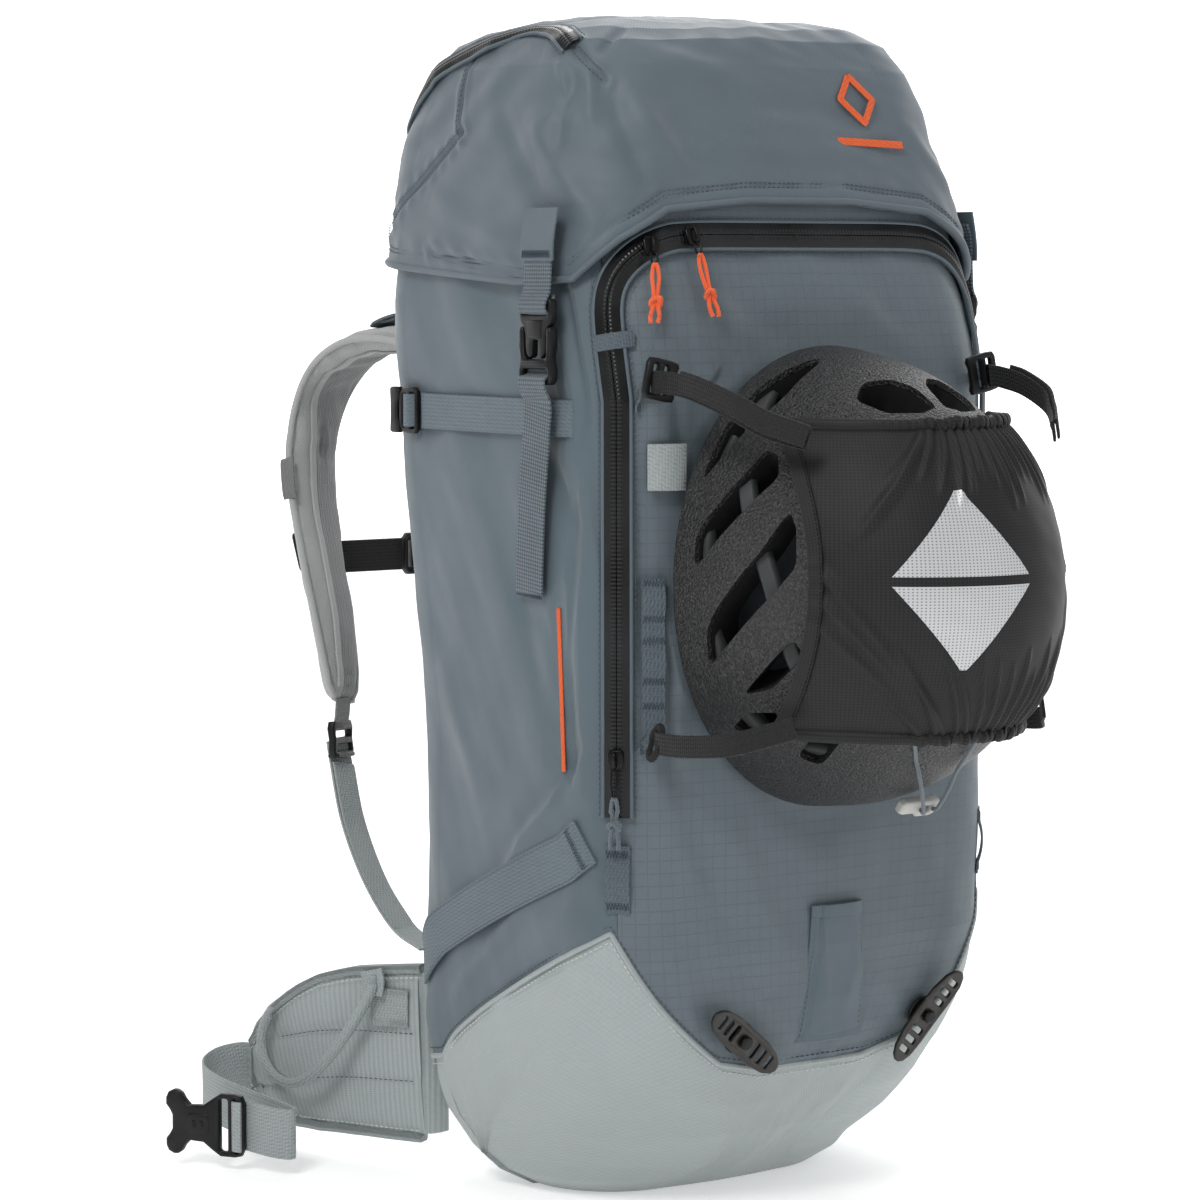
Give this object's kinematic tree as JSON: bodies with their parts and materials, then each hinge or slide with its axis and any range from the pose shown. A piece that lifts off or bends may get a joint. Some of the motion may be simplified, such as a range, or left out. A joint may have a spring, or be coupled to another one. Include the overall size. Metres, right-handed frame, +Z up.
{
  "type": "ski touring backpack",
  "caption": "Tall ski-touring backpack with a hinged lid, zipped front pocket, padded harness, hip belt, ice-axe toggles and a helmet carried under a stretch net.",
  "frame": {"origin": "centre line of the bag on the flat patch it stands on, at the bottom of its bounding box", "axes": "+Z up, +Y towards the wearer, -Y out of the front where the helmet is carried, +X to the wearer's right"},
  "size_m": [0.4908, 0.5817, 0.657],
  "materials": {
    "body_fabric": "coated plain weave, satin",
    "ripstop_fabric": "fine-grid ripstop, satin",
    "bottom_fabric": "coarse coated weave, matt",
    "pad_fabric": "padded twill, matt",
    "belt_fabric": "ribbed fabric, matt",
    "slate_webbing": "woven webbing, matt",
    "pale_webbing": "woven webbing, matt",
    "black_webbing": "woven webbing, matt",
    "orange_cord": "braided cord, matt",
    "black_cord": "braided elastic cord, matt",
    "zip_tape": "coated water-resistant tape, satin",
    "black_plastic": "moulded acetal, satin",
    "zip_metal": "black lacquer, semi-gloss",
    "frame_board": "extruded sheet, matt",
    "stay_alloy": "mill finish",
    "gunmetal": "gunmetal coating, satin",
    "helmet_plastic": "speckled hard shell, matt relief",
    "helmet_foam": "expanded foam, matt",
    "clip_plastic": "moulded, satin",
    "net_fabric": "stretch mesh, matt"
  },
  "bodies": {
    "bag": {"back_panel": "ripstop_fabric", "frame_sheet": "frame_board", "frame_stays": "stay_alloy", "back_pads": "pad_fabric", "side_panel_left": "body_fabric", "side_panel_right": "body_fabric", "front_panel": "ripstop_fabric", "bottom_panel": "bottom_fabric", "divider_panel": "ripstop_fabric", "storm_collar": "body_fabric", "collar_cord": "black_cord", "cord_lock": "black_plastic", "front_zip": "zip_tape", "lid_buckles_female": "black_plastic", "lid_webbing": "slate_webbing", "upper_compression_webbing": "slate_webbing", "lower_compression_webbing": "slate_webbing", "front_loops": "slate_webbing", "shoulder_pad_left": "pad_fabric", "shoulder_pad_right": "pad_fabric", "load_lifters": "slate_webbing", "lower_webbing": "pale_webbing", "axe_grommets": "black_plastic", "axe_sleeve": "ripstop_fabric", "helmet_shell": "helmet_plastic", "helmet_liner": "helmet_foam", "helmet_clip": "clip_plastic", "helmet_net": "net_fabric", "net_straps": "black_webbing", "net_locks": "black_plastic"},
    "lid": {"lid_shell": "body_fabric", "lid_floor": "ripstop_fabric", "lid_zip": "zip_tape", "lid_straps": "slate_webbing", "lid_buckles_male": "black_plastic"},
    "lid_slider": {"lid_zip_slider": "zip_metal"},
    "top_slider": {"zip_slider_top": "zip_metal"},
    "top_pull": {"zip_pull_top": "orange_cord"},
    "corner_slider": {"zip_slider_corner": "zip_metal"},
    "corner_pull": {"zip_pull_corner": "orange_cord"},
    "lower_slider": {"zip_slider_lower": "zip_metal"},
    "lower_pull": {"zip_pull_lower": "slate_webbing"},
    "cord_button": {"cord_lock_button": "black_plastic"},
    "hook_left": {"compression_hook_left": "black_plastic"},
    "hook_right": {"compression_hook_right": "black_plastic"},
    "haul": {"haul_loop": "slate_webbing"},
    "lock_left": {"strap_lock_left": "black_plastic"},
    "lock_right": {"strap_lock_right": "black_plastic"},
    "sternum": {"sternum_webbing": "black_webbing", "sternum_buckle": "black_plastic"},
    "fin_left": {"hip_fin_left": "belt_fabric"},
    "fin_right": {"hip_fin_right": "belt_fabric"},
    "belt_left": {"hip_webbing_left": "pale_webbing", "hip_buckle_male": "black_plastic"},
    "belt_right": {"hip_webbing_right": "pale_webbing", "hip_buckle_female": "black_plastic"},
    "gear_left": {"gear_loop_left": "belt_fabric"},
    "gear_right": {"gear_loop_right": "belt_fabric"},
    "axe_left": {"axe_toggle_left": "gunmetal"},
    "axe_right": {"axe_toggle_right": "gunmetal"}
  },
  "joints": [
    {"name": "lid_hinge", "type": "hinge", "parent": "bag", "child": "lid", "pos_m": [0, 0.145, 0.522], "axis": [-1, 0, 0], "range_deg": [0, 95]},
    {"name": "lid_zip_slide", "type": "slide", "parent": "lid", "child": "lid_slider", "axis": [1, 0, 0], "range_m": [-0.02, 0.1]},
    {"name": "top_zip_slide", "type": "slide", "parent": "bag", "child": "top_slider", "axis": [0.9987, -0.05, 0], "range_m": [0, 0.11]},
    {"name": "top_pull_swing", "type": "hinge", "parent": "top_slider", "child": "top_pull", "pos_m": [-0.07592, -0.10265, 0.53233], "axis": [-1, 0, 0], "range_deg": [0, 100]},
    {"name": "corner_zip_turn", "type": "hinge", "parent": "bag", "child": "corner_slider", "pos_m": [-0.09116, -0.1065, 0.49568], "axis": [-0.3623, -0.9173, 0.165], "range_deg": [0, 30]},
    {"name": "corner_pull_swing", "type": "hinge", "parent": "corner_slider", "child": "corner_pull", "pos_m": [-0.10306, -0.10118, 0.52733], "axis": [-0.9511, 0.309, 0], "range_deg": [0, 100]},
    {"name": "lower_zip_slide", "type": "slide", "parent": "bag", "child": "lower_slider", "axis": [0, 0, 1], "range_m": [0, 0.15]},
    {"name": "lower_pull_swing", "type": "hinge", "parent": "lower_slider", "child": "lower_pull", "pos_m": [-0.13082, -0.10537, 0.25402], "axis": [-0.6494, 0.7604, 0], "range_deg": [0, 100]},
    {"name": "cord_button_press", "type": "slide", "parent": "bag", "child": "cord_button", "axis": [1, 0, 0], "range_m": [-0.004, 0], "stiffness_N_per_m": 400},
    {"name": "hook_turn_left", "type": "hinge", "parent": "bag", "child": "hook_left", "pos_m": [-0.142, 0.072, 0.44], "axis": [0, 0, 1], "range_deg": [0, 40]},
    {"name": "lock_tilt_left", "type": "hinge", "parent": "bag", "child": "lock_left", "pos_m": [-0.108, 0.214, 0.247], "axis": [0.829, 0.5592, 0], "range_deg": [0, 30]},
    {"name": "fin_swing_left", "type": "hinge", "parent": "bag", "child": "fin_left", "pos_m": [-0.115, 0.102, 0.064], "axis": [0, 0, 1], "range_deg": [-22, 28]},
    {"name": "belt_swing_left", "type": "hinge", "parent": "fin_left", "child": "belt_left", "pos_m": [-0.1675, 0.218, 0.0435], "axis": [0, 0, 1], "range_deg": [-25, 5]},
    {"name": "gear_swing_left", "type": "hinge", "parent": "fin_left", "child": "gear_left", "pos_m": [-0.1387, 0.1256, 0.1091], "axis": [0, 0, 1], "range_deg": [0, 12]},
    {"name": "axe_turn_left", "type": "hinge", "parent": "bag", "child": "axe_left", "pos_m": [-0.055, -0.1147, 0.103], "axis": [0, -0.9659, -0.2588], "range_deg": [-45, 45]},
    {"name": "hook_turn_right", "type": "hinge", "parent": "bag", "child": "hook_right", "pos_m": [0.142, 0.072, 0.44], "axis": [0, 0, -1], "range_deg": [0, 40]},
    {"name": "lock_tilt_right", "type": "hinge", "parent": "bag", "child": "lock_right", "pos_m": [0.108, 0.214, 0.247], "axis": [0.829, -0.5592, 0], "range_deg": [0, 30]},
    {"name": "fin_swing_right", "type": "hinge", "parent": "bag", "child": "fin_right", "pos_m": [0.115, 0.102, 0.064], "axis": [0, 0, -1], "range_deg": [-22, 28]},
    {"name": "belt_swing_right", "type": "hinge", "parent": "fin_right", "child": "belt_right", "pos_m": [0.1675, 0.218, 0.0435], "axis": [0, 0, -1], "range_deg": [-25, 5]},
    {"name": "gear_swing_right", "type": "hinge", "parent": "fin_right", "child": "gear_right", "pos_m": [0.1387, 0.1256, 0.1091], "axis": [0, 0, -1], "range_deg": [0, 12]},
    {"name": "axe_turn_right", "type": "hinge", "parent": "bag", "child": "axe_right", "pos_m": [0.074, -0.1147, 0.103], "axis": [0, -0.9659, -0.2588], "range_deg": [-45, 45]},
    {"name": "sternum_height", "type": "slide", "parent": "bag", "child": "sternum", "axis": [0, 0.46, 0.8879], "range_m": [-0.025, 0.025]},
    {"name": "haul_swing", "type": "hinge", "parent": "bag", "child": "haul", "pos_m": [0, 0.1415, 0.494], "axis": [-1, 0, 0], "range_deg": [0, 35]}
  ]
}
